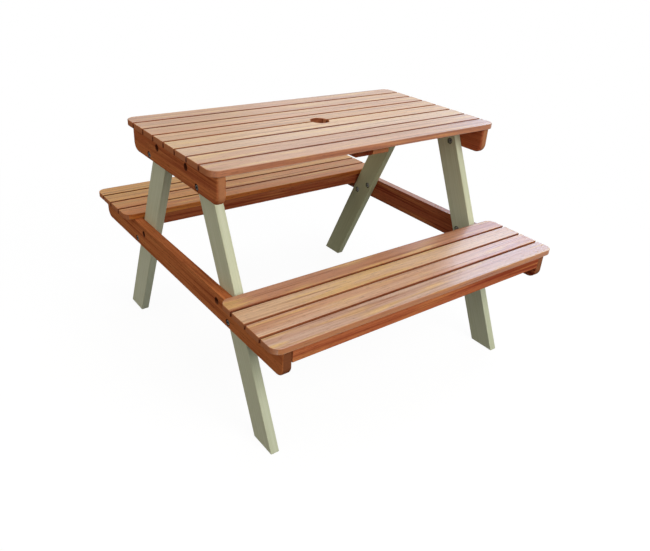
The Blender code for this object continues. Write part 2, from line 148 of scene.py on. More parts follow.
# Name, place and side in metres, brightness as a share of white, and colour
LAMPS = (
    ("top_softbox", (0.20, 0.20, 2.90), 2.0, 0.26, "#FFFDF8"),
    ("front_softbox", (0.10, -2.20, 1.75), 1.6, 0.57, "#FFFDF8"),
    ("left_softbox", (-2.60, -0.20, 0.90), 1.5, 0.11, "#FFE6C8"),
    ("right_softbox", (3.10, 1.50, 1.95), 1.05, 0.12, "#B4D2FF"),
    ("back_softbox", (2.60, 3.00, 1.80), 1.8, 0.035, "#F4F8FF"),
)


def softbox(name, place, size, brightness, colour):
    """A square lamp facing the table that lights a white card there to this share of white."""
    away = Vector(place) - AIM
    data = bpy.data.lights.new(name, "AREA")
    data.size = size
    data.energy = brightness * (math.pi * away.length) ** 2
    data.color = linear(colour)[:3]
    lamp = placed(name, data)
    lamp.visible_camera = False
    aimed = away.to_track_quat("Z", "Y").to_matrix().to_4x4()
    lamp.matrix_world = Matrix.Translation(place) @ aimed


for lamp in LAMPS:
    softbox(*lamp)


def seen_directly(tree):
    """1 for what the camera sees, also in metal or glass, and 0 for the light between surfaces."""
    ray = add(tree, "ShaderNodeLightPath")
    seen = ray.outputs["Is Camera Ray"]
    for kind in ("Is Glossy Ray", "Is Transmission Ray"):
        seen = add(tree, "ShaderNodeMath", {0: seen, 1: ray.outputs[kind]},
                   operation="MAXIMUM").outputs[0]
    return seen


world = bpy.data.worlds.new("white_paper")
bpy.context.scene.world = world
world.use_nodes = True
paper = world.node_tree
glow = add(paper, "ShaderNodeMapRange",
           {"Value": seen_directly(paper), "To Min": FILL, "To Max": 1.0})
backdrop = paper.nodes["Background"]
backdrop.inputs["Color"].default_value = linear("#FFFFFF")
paper.links.new(glow.outputs["Result"], backdrop.inputs["Strength"])
bpy.context.scene.view_settings.view_transform = "Standard"
print("lamps:", [item.name for item in bpy.data.lights])

# %% [markdown]
# ## Floor
# The table stands on white paper that shows only the faintest shadow. A lamp bright enough to turn
# paper white would bleach the wood, so the floor helps itself: to the camera and in reflections it
# glows almost white, with a thin matt layer on top that still darkens in shadow. To light that
# bounces between surfaces it is dark grey card, which keeps the undersides of the boards dark.

# %% Make the floor
FLOOR_HALF = 8.0
FLOOR_GLOW = 0.94
FLOOR_MATT = "#555555"
FLOOR_BOUNCE = "#4B4B4B"
# Metres from the middle between which the floor turns plain white
SHADOW_START, SHADOW_END = 0.6, 1.6


def mesh_of(name, shape):
    """The mesh of a shape that was built face by face."""
    mesh = bpy.data.meshes.new(name)
    shape.to_mesh(mesh)
    shape.free()
    return mesh


sheet = bmesh.new()
bmesh.ops.create_grid(sheet, x_segments=1, y_segments=1, size=FLOOR_HALF)
floor = placed("paper_floor", mesh_of("paper_floor", sheet))
floor_paper, tree, shader = new_material("matt_white_paper")
tree.nodes.remove(shader)
thin = add(tree, "ShaderNodeBsdfDiffuse", {"Color": linear(FLOOR_MATT)})
white = add(tree, "ShaderNodeEmission", {"Strength": FLOOR_GLOW})
shown = add(tree, "ShaderNodeAddShader", {0: thin.outputs[0], 1: white.outputs[0]})
own = add(tree, "ShaderNodeTexCoord")
out = add(tree, "ShaderNodeVectorMath", {0: own.outputs["Object"]}, operation="LENGTH")
fade = add(tree, "ShaderNodeMapRange",
           {"Value": out.outputs["Value"], "From Min": SHADOW_START, "From Max": SHADOW_END},
           interpolation_type="SMOOTHSTEP")
plain = add(tree, "ShaderNodeEmission", {"Strength": 1.0})
shown = add(tree, "ShaderNodeMixShader",
            {0: fade.outputs["Result"], 1: shown.outputs[0], 2: plain.outputs[0]})
card = add(tree, "ShaderNodeBsdfDiffuse", {"Color": linear(FLOOR_BOUNCE)})
shown = add(tree, "ShaderNodeMixShader",
            {0: seen_directly(tree), 1: card.outputs[0], 2: shown.outputs[0]})
tree.links.new(shown.outputs[0], tree.nodes["Material Output"].inputs["Surface"])
floor.data.materials.append(floor_paper)
print("floor side, m:", 2 * FLOOR_HALF)

# %% [markdown]
# ## Oiled wood
# The boards are acacia, a dense reddish hardwood, planed smooth and rubbed with oil. The oil leaves
# a satin surface: deep orange from above, pale and silvery where it is seen at a low angle. Its
# figure is made of broad honey and rose bands, gold patches, dusky and brown streaks, faint growth
# rings, flecks and short dark vessels, all drawn out along the board. An image would repeat and
# would need unwrapping, so the figure is worked out in the board's own space, as if every board
# were cut from one long log: each board carries the place in the log that it was cut from, and the
# same recipe gives each one a grain of its own that also runs over its edges and onto its ends.

# %% Sizes of the figure
# Of each pattern: length and width of a mark, noise where it starts and is full, fineness
BAND = ((900 * MM, 24 * MM), 0.30, 0.70, 2.0)
PATCH = ((150 * MM, 14 * MM), 0.50, 0.72, 1.0)
DUSK = ((420 * MM, 9 * MM), 0.50, 0.70, 2.0)
STREAK = ((320 * MM, 6.5 * MM), 0.45, 0.78, 2.0)
FLECK = ((70 * MM, 1.6 * MM), 0.40, 0.80, 2.0)
# Real vessels are about 0.2 mm wide; these are drawn wider, so that they show in the picture
VESSEL = ((16 * MM, 0.8 * MM), 0.60, 0.72, 1.0)
BEND = (380 * MM, 60 * MM)
BEND_REACH = 5 * MM
RING_SPACING = 7 * MM
RING_DRAW = 0.05
RING_WOBBLE = {"Distortion": 2.5, "Detail": 2.0, "Detail Scale": 0.6}
# The wave texture draws this many radians of wave for each unit of length at scale 1
WAVE_RADIANS = 20.0
RING_SCALE = math.tau / WAVE_RADIANS / RING_SPACING


def drawn_out(tree, place, size, low, high, detail):
    """A pattern from 0 to 1 with marks of this length along the board and this width across it."""
    length, width = size
    squeezed = add(tree, "ShaderNodeVectorMath", {0: place, 1: (1 / length, 1 / width, 1 / width)},
                   operation="MULTIPLY")
    noise = add(tree, "ShaderNodeTexNoise",
                {"Vector": squeezed.outputs[0], "Scale": 1.0, "Detail": detail})
    spread = add(tree, "ShaderNodeMapRange",
                 {"Value": noise.outputs[0], "From Min": low, "From Max": high},
                 interpolation_type="SMOOTHSTEP")
    return spread.outputs["Result"]


def layered(tree, colour, marks):
    """The colour under layers of marks, each a pattern, how strongly it shows and its colour."""
    for pattern, strength, shade in marks:
        share = add(tree, "ShaderNodeMath", {0: pattern, 1: strength}, operation="MULTIPLY")
        mix = add(tree, "ShaderNodeMix", {0: share.outputs[0], 6: colour, 7: linear(shade)},
                  data_type="RGBA")
        colour = mix.outputs[2]
    return colour


def roughened(tree, shader, pattern, bare, marked):
    """Makes the roughness of a surface follow a pattern, from bare to fully marked."""
    rough = add(tree, "ShaderNodeMapRange", {"Value": pattern, "To Min": bare, "To Max": marked})
    tree.links.new(rough.outputs["Result"], shader.inputs["Roughness"])


print("vessels across one slat:", round(42 * MM / VESSEL[0][1]))

# %% Find each point's place in the log
def place_in_log(tree, own, log):
    """Where each point of a board lay in the log, with the grain bent a little by slow noise."""
    place = add(tree, "ShaderNodeVectorMath", {0: own.outputs["Object"], 1: log},
                operation="ADD").outputs[0]
    across = (1 / BEND[0], 1 / BEND[1], 1 / BEND[1])
    slow = add(tree, "ShaderNodeVectorMath", {0: place, 1: across}, operation="MULTIPLY")
    sway = add(tree, "ShaderNodeTexNoise", {"Vector": slow.outputs[0], "Scale": 1.0, "Detail": 1.0})
    return add(tree, "ShaderNodeVectorMath",
               {0: sway.outputs["Color"], 1: (0.0, BEND_REACH, BEND_REACH), 2: place},
               operation="MULTIPLY_ADD").outputs[0]


def growth_rings(tree, place):
    """Rings round the heart of the log, drawn out until they are lines along the board."""
    flat = add(tree, "ShaderNodeVectorMath", {0: place, 1: (RING_DRAW, 1.0, 1.0)},
               operation="MULTIPLY")
    return add(tree, "ShaderNodeTexWave",
               {"Vector": flat.outputs[0], "Scale": RING_SCALE, **RING_WOBBLE},
               wave_type="RINGS", rings_direction="X", wave_profile="SAW").outputs[1]


print("growth rings, mm apart:", RING_SPACING / MM)

# %% [markdown]
# The wood shader starts from the values of a hard oil: an IOR of 1.5, no metal and a roughness
# near 0.3. The dark streaks are a little smoother than the pale wood between them, which breaks
# the sheen up along the grain, and the vessels are open pores, so they dent the surface. How much
# a board mirrors tells polished wood from rubbed wood, so it is matched board by board. The slats
# that get handled have about the full reflection of an oiled surface. The back bench has a fifth
# of that. The sawn ends, which drank their oil, and the frame, rubbed with a nearly dry cloth, have
# none. One material with a map of the gloss could do this too, but separate finishes are easier to
# name and to change.

# %% Tint the narrow sides and draw the end grain
# How squarely a face looks along the grain where end grain sets in and is full
END_GRAIN_START, END_GRAIN_FULL = 0.55, 0.95
END_GRAIN_COVER = 0.80
UNTINTED = "#FFFFFF"


def sides_and_ends(tree, own, worn, colour, edge, pale_end, dark_end):
    """The colour, multiplied by the edge tint on the sides, a painted shade, and under end grain on
    the ends.
    """
    along = add(tree, "ShaderNodeSeparateXYZ", {0: own.outputs["Normal"]})
    up = add(tree, "ShaderNodeMath", {0: along.outputs["Z"]}, operation="ABSOLUTE")
    # The tint darkens and reddens the narrow sides against the broad faces, whose paler colour is
    # partly painted sheen: painted shade on the sides
    tint = add(tree, "ShaderNodeMix", {0: up.outputs[0], 6: linear(edge), 7: linear(UNTINTED)},
               data_type="RGBA")
    colour = add(tree, "ShaderNodeVectorMath", {0: colour, 1: tint.outputs[2]},
                 operation="MULTIPLY").outputs[0]
    end = add(tree, "ShaderNodeMath", {0: along.outputs["X"]}, operation="ABSOLUTE")
    end = add(tree, "ShaderNodeMapRange", {
        "Value": end.outputs[0], "From Min": END_GRAIN_START, "From Max": END_GRAIN_FULL,
        "To Max": END_GRAIN_COVER})
    # Sawn ends go from the dark to the pale end colour by the board's end sheen: a painted
    # reflection of the front lamp
    sawn = add(tree, "ShaderNodeMix", {0: worn, 6: linear(dark_end), 7: linear(pale_end)},
               data_type="RGBA")
    return add(tree, "ShaderNodeMix", {0: end.outputs["Result"], 6: colour, 7: sawn.outputs[2]},
               data_type="RGBA").outputs[2]


print("cover of the end grain:", END_GRAIN_COVER)

# %% The recipe for oiled wood
WOOD_IOR = 1.5
WOOD_ROUGHNESS = (0.34, 0.25)
# Depth of a pore, strength of the dents, and depths of vessels and flecks as shares
PORE_DEPTH = 0.25 * MM
DENT_STRENGTH = 0.5
VESSEL_DENT, FLECK_DENT = 0.3, 0.2
# How strongly each kind of mark shows
PATCH_SHARE, RING_SHARE, STREAK_SHARE, FLECK_SHARE, VESSEL_SHARE = 0.60, 0.20, 0.60, 0.26, 0.55
# Tone and band together turn honey to rose between these values, and tone brings dusk with it
ROSE_START, ROSE_FULL = 0.35, 1.35
DUSK_PER_TONE, LEAST_DUSK = 0.55, 0.20
# A pale silvery grey that is painted sheen, laid on boards whose warmth is below zero
PAINTED_SHEEN = "#CBBCB4"


def oiled_wood(name, gloss, edge, honey, rose, gold, plum, brown, pore, pale_end, dark_end):
    """Oiled hardwood: its gloss, the tint of its narrow sides, which is painted shade, and its eight
    colours.
    """
    made, tree, shader = new_material(name)
    own = add(tree, "ShaderNodeTexCoord")
    # The third attribute, held in worn, is the painted reflection on the sawn ends, and warmth below
    # zero is a share of painted sheen
    log, tone, worn, warmth = (
        add(tree, "ShaderNodeAttribute", attribute_type="OBJECT", attribute_name=carried).outputs
        for carried in ("cut_from", "tone", "painted_end_sheen", "warmth"))
    painted_sheen_share = add(tree, "ShaderNodeMath", {0: warmth["Fac"], 1: -1.0}, operation="MULTIPLY")
    place = place_in_log(tree, own, log["Vector"])
    band, patch, dusk, streak, fleck, vessel = (
        drawn_out(tree, place, *pattern) for pattern in (BAND, PATCH, DUSK, STREAK, FLECK, VESSEL))
    ring = growth_rings(tree, place)
    redness = add(tree, "ShaderNodeMath", {0: band, 1: tone["Fac"]}, operation="ADD")
    redness = add(tree, "ShaderNodeMapRange",
                  {"Value": redness.outputs[0], "From Min": ROSE_START, "From Max": ROSE_FULL})
    dusky = add(tree, "ShaderNodeMath", {0: tone["Fac"], 1: DUSK_PER_TONE, 2: LEAST_DUSK},
                operation="MULTIPLY_ADD", use_clamp=True)
    colour = layered(tree, linear(honey), (
        (redness.outputs["Result"], 1.0, rose),
        (warmth["Fac"], 1.0, gold),
        (painted_sheen_share.outputs[0], 1.0, PAINTED_SHEEN),
        (patch, PATCH_SHARE, gold),
        (dusk, dusky.outputs[0], plum),
        (ring, RING_SHARE, brown),
        (streak, STREAK_SHARE, brown),
        (fleck, FLECK_SHARE, brown),
        (vessel, VESSEL_SHARE, pore),
    ))
    colour = sides_and_ends(tree, own, worn["Fac"], colour, edge, pale_end, dark_end)
    tree.links.new(colour, shader.inputs["Base Color"])
    roughened(tree, shader, streak, *WOOD_ROUGHNESS)
    shallow = add(tree, "ShaderNodeMath", {0: fleck, 1: FLECK_DENT}, operation="MULTIPLY")
    height = add(tree, "ShaderNodeMath", {0: vessel, 1: VESSEL_DENT, 2: shallow.outputs[0]},
                 operation="MULTIPLY_ADD")
    dent = add(tree, "ShaderNodeBump",
               {"Strength": DENT_STRENGTH, "Distance": PORE_DEPTH, "Height": height.outputs[0]},
               invert=True)
    tree.links.new(dent.outputs[0], shader.inputs["Normal"])
    shader.inputs["IOR"].default_value = WOOD_IOR
    shader.inputs["Specular IOR Level"].default_value = gloss
    return made


print("roughness, bare and on a streak:", *WOOD_ROUGHNESS)

# %% Mix the six woods
SLAT_ENDS = ("#DC9468", "#B86C44")

# The paler colours of the top and front slats are partly painted sheen, and their edge tints paint
# shade on their sides; the back slats, out of the sheen, keep deeper colours
top_wood = oiled_wood(
    "oiled_acacia_top_slats", 0.52, "#EBC5AC",
    "#E4BA8C", "#D29C70", "#F0CC84", "#A67656", "#8C583E", "#643A2A", *SLAT_ENDS)
seat_wood = oiled_wood(
    "oiled_acacia_front_slats", 0.60, "#E8B16F",
    "#E9C5A8", "#D29670", "#F8D080", "#A75A2E", "#985634", "#6A3C2A", *SLAT_ENDS)
bench_wood = oiled_wood(
    "rubbed_acacia_back_slats", 0.12, "#F6D4BC",
    "#F4B86A", "#E0904E", "#FACA72", "#A86240", "#8C4C2C", "#643420", *SLAT_ENDS)
end_wood = oiled_wood(
    "sawn_acacia_ends", 0.0, UNTINTED,
    "#D8986E", "#C07C58", "#E0A070", "#9A5A3C", "#8A4C30", "#50281A", *SLAT_ENDS)
frame_wood = oiled_wood(
    "rubbed_acacia_frame", 0.0, "#EDE7E7",
    "#E28C54", "#C8724A", "#EA9A5E", "#963E2A", "#862E18", "#50200F", "#C98E64", "#4E1A0C")
# A darker wood for slat sides in the gaps and for the walls of holes: painted shade, over bare wood
# in the holes
shade_wood = oiled_wood(
    "bare_acacia_painted_shade", 0.0, UNTINTED,
    "#AE6A48", "#9C583A", "#B6724C", "#7C4430", "#5A2818", "#381810", "#88482E", "#6A3422")
woods = (top_wood, seat_wood, bench_wood, end_wood, frame_wood, shade_wood)
print("woods:", *(wood.name for wood in woods))

# %% [markdown]
# ## Painted legs
# The legs are the same boards under a thin coat of sage green outdoor paint. It was brushed along
# the leg, so it is matt with fine lengthwise streaks, and the grain still shows through as soft
# ridges. A plain green would look like plastic. The streaks change the colour a little and the
# height a little more, which is what the eye reads as brushed paint on wood. The bolts' recesses get
# the same recipe with darker colours: painted shade in the recesses.

# %% Build the paint
BRISTLE_MARK = ((140 * MM, 1.5 * MM), 0.30, 0.70, 2.0)
GRAIN_RIDGE = ((300 * MM, 6 * MM), 0.35, 0.70, 2.0)
RIDGE_SHARE = 0.35
PAINT_ROUGHNESS = (0.48, 0.62)
PAINT_RELIEF = 0.20 * MM
RELIEF_STRENGTH = 0.5
BRISTLE_HEIGHT, RIDGE_HEIGHT = 0.4, 0.6
PAINT_IOR = 1.5
PAINT_GLOSS = 0.2
# A full tone multiplies the paint by this, as painted shade
LEG_SHADE = "#EBE8D8"


def brushed_paint(name, main, pale, worn):
    """Thin outdoor paint brushed along a leg, with pale bristle marks and worn ridges of grain."""
    made, tree, shader = new_material(name)
    own = add(tree, "ShaderNodeTexCoord")
    log, lean, tone = (
        add(tree, "ShaderNodeAttribute", attribute_type="OBJECT", attribute_name=carried)
        for carried in ("cut_from", "up_the_leg", "tone"))
    square = add(tree, "ShaderNodeVectorMath", {0: lean.outputs["Vector"], 1: (0.0, 0.0, 1.0)},
                 operation="CROSS_PRODUCT")
    along = add(tree, "ShaderNodeVectorMath", {0: own.outputs["Object"], 1: lean.outputs["Vector"]},
                operation="DOT_PRODUCT")
    across = add(tree, "ShaderNodeVectorMath", {0: own.outputs["Object"], 1: square.outputs[0]},
                 operation="DOT_PRODUCT")
    through = add(tree, "ShaderNodeSeparateXYZ", {0: own.outputs["Object"]})
    turned_place = add(tree, "ShaderNodeCombineXYZ", {
        "X": along.outputs["Value"], "Y": across.outputs["Value"], "Z": through.outputs["Z"]})
    place = add(tree, "ShaderNodeVectorMath",
                {0: turned_place.outputs[0], 1: log.outputs["Vector"]},
                operation="ADD").outputs[0]
    bristle = drawn_out(tree, place, *BRISTLE_MARK)
    ridge = drawn_out(tree, place, *GRAIN_RIDGE)
    colour = layered(tree, linear(main), ((bristle, 1.0, pale), (ridge, RIDGE_SHARE, worn)))
    # The leg's tone darkens its paint: painted shade
    coat = add(tree, "ShaderNodeMix", {0: tone.outputs["Fac"], 6: colour, 7: linear(LEG_SHADE)},
               data_type="RGBA", blend_type="MULTIPLY")
    tree.links.new(coat.outputs[2], shader.inputs["Base Color"])
    roughened(tree, shader, bristle, *PAINT_ROUGHNESS)
    raised = add(tree, "ShaderNodeMath", {0: ridge, 1: RIDGE_HEIGHT}, operation="MULTIPLY")
    height = add(tree, "ShaderNodeMath", {0: bristle, 1: BRISTLE_HEIGHT, 2: raised.outputs[0]},
                 operation="MULTIPLY_ADD")
    relief = add(tree, "ShaderNodeBump", {
        "Strength": RELIEF_STRENGTH, "Distance": PAINT_RELIEF, "Height": height.outputs[0]})
    tree.links.new(relief.outputs[0], shader.inputs["Normal"])
    shader.inputs["IOR"].default_value = PAINT_IOR
    shader.inputs["Specular IOR Level"].default_value = PAINT_GLOSS
    return made


leg_paint = brushed_paint("brushed_sage_paint", "#CFD5B5", "#DBDFC4", "#C4C8A4")
# The same paint darkened for the walls of the bolt recesses: painted shade
recess_shade_paint = brushed_paint("sage_paint_painted_shade", "#6A6C52", "#75775B", "#5A5C46")
print("paints:", leg_paint.name, recess_shade_paint.name)

# %% [markdown]
# ## Plated steel
# The furniture bolts and their nuts are steel with a dark zinc plating, and the wood screws have a
# yellow chromate over theirs. Plating is tumbled in a barrel, so it is evenly satin with small
# clouds. A metal has no colour of its own under the shine, so the base colour is the colour of the
# reflection. It is kept dark on the bolt heads, partly as painted shade: all round them is white
# paper, and they should show it only as a fleck on the rim. The sockets are painted darker still, as
# the shade inside them. The nuts sit in the shade of the legs, so theirs is painted a little
# brighter.

# %% Build the metals
CLOUD = ((1.2 * MM, 1.2 * MM), 0.35, 0.65, 2.0)
PLATING_ROUGHNESS = (0.26, 0.42)


def plated_steel(name, colour, dull):
    """Barrel-plated steel, cloudy between a bright colour and a duller one."""
    made, tree, shader = new_material(name)
    own = add(tree, "ShaderNodeTexCoord")
    cloud = drawn_out(tree, own.outputs["Object"], *CLOUD)
    clouded = layered(tree, linear(colour), [(cloud, 1.0, dull)])
    tree.links.new(clouded, shader.inputs["Base Color"])
    roughened(tree, shader, cloud, *PLATING_ROUGHNESS)
    shader.inputs["Metallic"].default_value = 1.0
    return made


# The heads' dark colour is partly painted shade, the sockets' near black is painted shade, and the
# nuts are painted a little brighter against the shade of the legs
bolt_zinc = plated_steel("dark_zinc_plated_steel", "#4C4840", "#2E2B26")
nut_zinc = plated_steel("zinc_plated_steel", "#6C6960", "#45433D")
socket_steel = plated_steel("steel_socket_painted_shade", "#2A2826", "#161514")
screw_zinc = plated_steel("yellow_zinc_plated_steel", "#C3A665", "#A98C50")
print("metals:", bolt_zinc.name, nut_zinc.name, socket_steel.name, screw_zinc.name)

# %% [markdown]
# ## A board, and how it is shaped
# Every wooden piece starts as a sawn blank: an outline, given thickness, with its long edges
# rounded over on a router table. The outline could be a curve object with an extrusion, but a mesh
# made here in code takes a Bevel modifier cleanly. The blank is modelled with its length along its
# own X, because the grain recipe reads that axis, and its matrix then turns it into place. After
# the holes are bored, a Weighted Normal modifier keeps the broad faces flat to the eye and lets
# only the eased edges look round.

# %% Ways in which a board can lie
FLAT_ALONG_X = Matrix.Identity(4)
FLAT_ALONG_Y = Matrix.Rotation(QUARTER_TURN, 4, "Z")
ON_EDGE_ALONG_X = Matrix.Rotation(QUARTER_TURN, 4, "X")
ON_EDGE_ALONG_Y = FLAT_ALONG_Y @ ON_EDGE_ALONG_X
print("the width of a board on edge points along", ON_EDGE_ALONG_Y.col[1].to_3d())

# %% Outline and blank of a board
CORNER_STEPS = 14
CREASE = math.radians(30)
WELD = 0.01 * MM


def rectangle(length, width, low_radius=0.0, high_radius=0.0):
    """Outline of a board, with round corners on its low or its high side."""
    x, y = length / 2, width / 2
    corners = ((-x, -y, low_radius), (x, -y, low_radius), (x, y, high_radius), (-x, y, high_radius))
    points = []
    for index, (x, y, radius) in enumerate(corners):
        corner = Vector((x, y))
        back = (Vector(corners[index - 1][:2]) - corner).normalized()
        on = (Vector(corners[(index + 1) % len(corners)][:2]) - corner).normalized()
        if not radius:
            points.append(corner)
            continue
        for step in range(CORNER_STEPS + 1):
            turn = QUARTER_TURN * step / CORNER_STEPS
            inward = back * (1 - math.sin(turn)) + on * (1 - math.cos(turn))
            points.append(corner + radius * inward)
    return points


def blank(name, outline, thickness, top_share):
    """The outline, given thickness. Its top edges are eased by a share of what the others are."""
    shape = bmesh.new()
    low = shape.faces.new([shape.verts.new((x, y, -thickness / 2)) for x, y in outline])
    lifted = bmesh.ops.extrude_face_region(shape, geom=[low])["geom"]
    corners = [item for item in lifted if isinstance(item, bmesh.types.BMVert)]
    bmesh.ops.translate(shape, verts=corners, vec=(0, 0, thickness))
    bmesh.ops.recalc_face_normals(shape, faces=shape.faces)
    weight = shape.edges.layers.float.new("bevel_weight_edge")
    top = max(y for x, y in outline)
    for edge in shape.edges:
        if edge.calc_face_angle() > CREASE:
            on_top = all(top - vert.co.y < WELD for vert in edge.verts)
            edge[weight] = top_share if on_top else 1.0
    return mesh_of(name, shape)


print("points round a slat with one rounded side:", len(rectangle(720 * MM, 42 * MM, 20 * MM)))

# %% Put a piece in the scene and on the table's body
def new_piece(name, mesh, finish, place):
    """An object in the scene with this finish and this place."""
    piece = placed(name, mesh)
    piece.matrix_world = place
    if not mesh.materials:
        mesh.materials.append(finish)
    return piece


def hand_over(piece, slot, *solids):
    """Fixes the piece to the table's one body and hides what it stands for. The slot, the name of
    its finish, is not used.
    """
    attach(piece, "root")
    if solids:
        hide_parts(*solids)


print("solids that wait for a piece:", len(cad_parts))

# %% [markdown]
# ## Holes
# A real board is drilled before it is put together, and one drill often goes through two boards: a
# slat and the batten under it, or a batten and a leg. So each hole is made once, as a turned solid,
# and noted for every board that it goes through. When a board is made, its holes are gathered into
# one cutter and taken out with a single Boolean, which is much quicker than one for each hole. The
# cutter carries the finish of the walls that it leaves: a darker wood, or a darker coat of the paint
# in the legs. Both are painted shade in the holes.

# %% Turned shapes and the list of holes
ROUND_SIDES = 32
RIM_STEPS = 4
OVERRUN = 4 * MM
bores = {}


def turned(name, profile, sides=ROUND_SIDES):
    """A solid turned about Z from (radius, height) points."""
    shape = bmesh.new()
    points = [shape.verts.new((radius, 0.0, height)) for radius, height in profile]
    edges = [shape.edges.new(pair) for pair in zip(points, points[1:])]
    bmesh.ops.spin(shape, geom=points + edges, cent=(0, 0, 0), axis=(0, 0, 1), angle=math.tau,
                   steps=sides, use_merge=True)
    bmesh.ops.remove_doubles(shape, verts=shape.verts, dist=WELD)
    bmesh.ops.recalc_face_normals(shape, faces=shape.faces)
    return mesh_of(name, shape)


def quarter_round(radius, top, inward):
    """Points of a rounded rim from its top to its side. A hole's rim flares, so inward < 0."""
    turns = [QUARTER_TURN * step / RIM_STEPS for step in range(RIM_STEPS + 1)]
    return [(radius - inward * (1 - math.sin(turn)), top - abs(inward) * (1 - math.cos(turn)))
            for turn in turns]


def bore(solids, hole, place):
    """Notes one hole for each board that it goes through."""
    for solid in solids:
        bores.setdefault(solid, []).append((hole, place))


print("sides of a round hole:", ROUND_SIDES)

# %% Cut out the holes, settle the mesh and smooth it
def take_out(piece, holes, inside):
    """Cuts the hole shapes, given in the table's space, from a piece, and finishes their walls."""
    shape = bmesh.new()
    for hole, place in holes:
        copy = hole.copy()
        copy.transform(place)
        shape.from_mesh(copy)
        bpy.data.meshes.remove(copy)
    drill = placed("drill", mesh_of("drill", shape))
    drill.data.materials.append(inside)
    cut = piece.modifiers.new("holes", "BOOLEAN")
    cut.operation = "DIFFERENCE"
    cut.material_mode = "TRANSFER"
    cut.object = drill
    settle(piece)
    bpy.data.objects.remove(drill)


def settle(piece):
    """Puts the mesh that the piece's modifiers come to in place of its plain one."""
    now = bpy.context.evaluated_depsgraph_get()
    mesh = bpy.data.meshes.new_from_object(piece.evaluated_get(now))
    piece.modifiers.clear()
    piece.data = mesh


def smooth(piece):
    """Rounds what is rounded and keeps broad faces flat to the eye."""
    piece.data.shade_smooth()
    piece.data.set_sharp_from_angle(angle=CREASE)
    weighted = piece.modifiers.new("flat faces", "WEIGHTED_NORMAL")
    weighted.keep_sharp = True


print("an edge stays sharp from, degrees:", round(math.degrees(CREASE)))

# %% [markdown]
# ## Bolts
# Two furniture bolts hold each leg to a batten and two hold it to a seat rail. Each has a flat head
# with a hexagon socket, sunk in a counterbore of the board, and screws into a sleeve nut whose
# flange is let into the inside of the leg. One of each pair sits deep in its hole and the other
# nearly flush, as on the real table. A cylinder would do from far away. Turning the head from a
# profile gives it a domed rim, which catches the lamps as a small bright fleck, and the socket is
# cut with a six-sided prism.

# %% Sizes of the bolts
GAP = 0.3 * MM
CLEARANCE = 0.3 * MM
RECESS_CLEARANCE = 1.5 * MM
RIM_CHAMFER = 0.5 * MM
DOME = 1.5 * MM
BOLT_RADIUS = 3.0 * MM
HEAD_RADIUS = 5.5 * MM
HEAD_HEIGHT = 3.4 * MM
HEAD_SOCKET = (3.0 * MM, 2.4 * MM)
NUT_WALL = 1.5 * MM
NUT_SLEEVE_SHARE = 0.50
NUT_RECESS_SHARE = 0.20
NUT_FLANGE = (5.5 * MM, 1.8 * MM)
NUT_SOCKET = (2.4 * MM, 1.2 * MM)
SHANK_SHORT_OF_NUT = 1.0 * MM
HEX_SIDES = 6
print("bolt head across, mm:", 2 * HEAD_RADIUS / MM)

# %% Sink a socket
def with_socket(name, finish, profile, socket, top):
    """A turned piece of metal with a hexagon socket sunk into the face at this height."""
    radius, depth = socket
    piece = new_piece(name, turned(name, profile), finish, Matrix())
    shape = bmesh.new()
    bmesh.ops.create_cone(shape, cap_ends=True, segments=HEX_SIDES, radius1=radius, radius2=radius,
                          depth=2 * depth)
    key = mesh_of("hexagon_key", shape)
    take_out(piece, [(key, Matrix.Translation((0, 0, top)))], socket_steel)
    mesh = piece.data
    mesh.name = name
    bpy.data.objects.remove(piece)
    return mesh


print("sides of a socket:", HEX_SIDES)

# %% Turn a bolt, its nut and their hole
def bolt_shapes(depth, board, leg):
    """Bolt, nut and hole for a head this deep in a board, from the board's outer face inwards."""
    seat = GAP - depth
    top = seat + HEAD_HEIGHT
    inside = -board - GAP - leg
    recess = inside + NUT_RECESS_SHARE * leg
    sleeve_end = recess + NUT_SLEEVE_SHARE * leg
    flange = recess - GAP
    face = flange - NUT_FLANGE[1]
    bolt = with_socket("furniture_bolt", bolt_zinc, [
        (0.0, top),
        *quarter_round(HEAD_RADIUS, top, DOME),
        (HEAD_RADIUS, seat),
        (BOLT_RADIUS, seat),
        (BOLT_RADIUS, flange + SHANK_SHORT_OF_NUT),
        (0.0, flange + SHANK_SHORT_OF_NUT),
    ], HEAD_SOCKET, top)
    nut_bore, sleeve = BOLT_RADIUS + CLEARANCE / 2, BOLT_RADIUS + NUT_WALL
    nut = with_socket("sleeve_nut", nut_zinc, [
        (0.0, flange),
        (nut_bore, flange),
        (nut_bore, sleeve_end),
        (sleeve, sleeve_end),
        (sleeve, flange),
        (NUT_FLANGE[0], flange),
        (NUT_FLANGE[0], face + RIM_CHAMFER),
        (NUT_FLANGE[0] - RIM_CHAMFER, face),
        (0.0, face),
    ], NUT_SOCKET, face)
    head_hole = HEAD_RADIUS + RECESS_CLEARANCE
    flange_hole = NUT_FLANGE[0] + RECESS_CLEARANCE
    hole = turned("bolt_hole", [
        (0.0, OVERRUN),
        (head_hole + RIM_CHAMFER, OVERRUN),
        (head_hole + RIM_CHAMFER, 0.0),
        (head_hole, -RIM_CHAMFER),
        (head_hole, -depth),
        (BOLT_RADIUS + CLEARANCE, -depth),
        (BOLT_RADIUS + CLEARANCE, sleeve_end + CLEARANCE),
        (sleeve + CLEARANCE, sleeve_end + CLEARANCE),
        (sleeve + CLEARANCE, recess),
        (flange_hole, recess),
        (flange_hole, inside + RIM_CHAMFER),
        (flange_hole + RIM_CHAMFER, inside),
        (flange_hole + RIM_CHAMFER, inside - OVERRUN),
        (0.0, inside - OVERRUN),
    ])
    return bolt, nut, hole


print("a bolt head's rim is rounded over, mm:", DOME / MM)

# %% Measure a solid
def box_of(solid):
    """Centre and size of a solid."""
    low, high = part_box(solid)
    return (low + high) / 2, high - low


def span(solid, axis):
    """Lowest and highest place of a solid along one axis."""
    low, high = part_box(solid)
    return low[axis], high[axis]


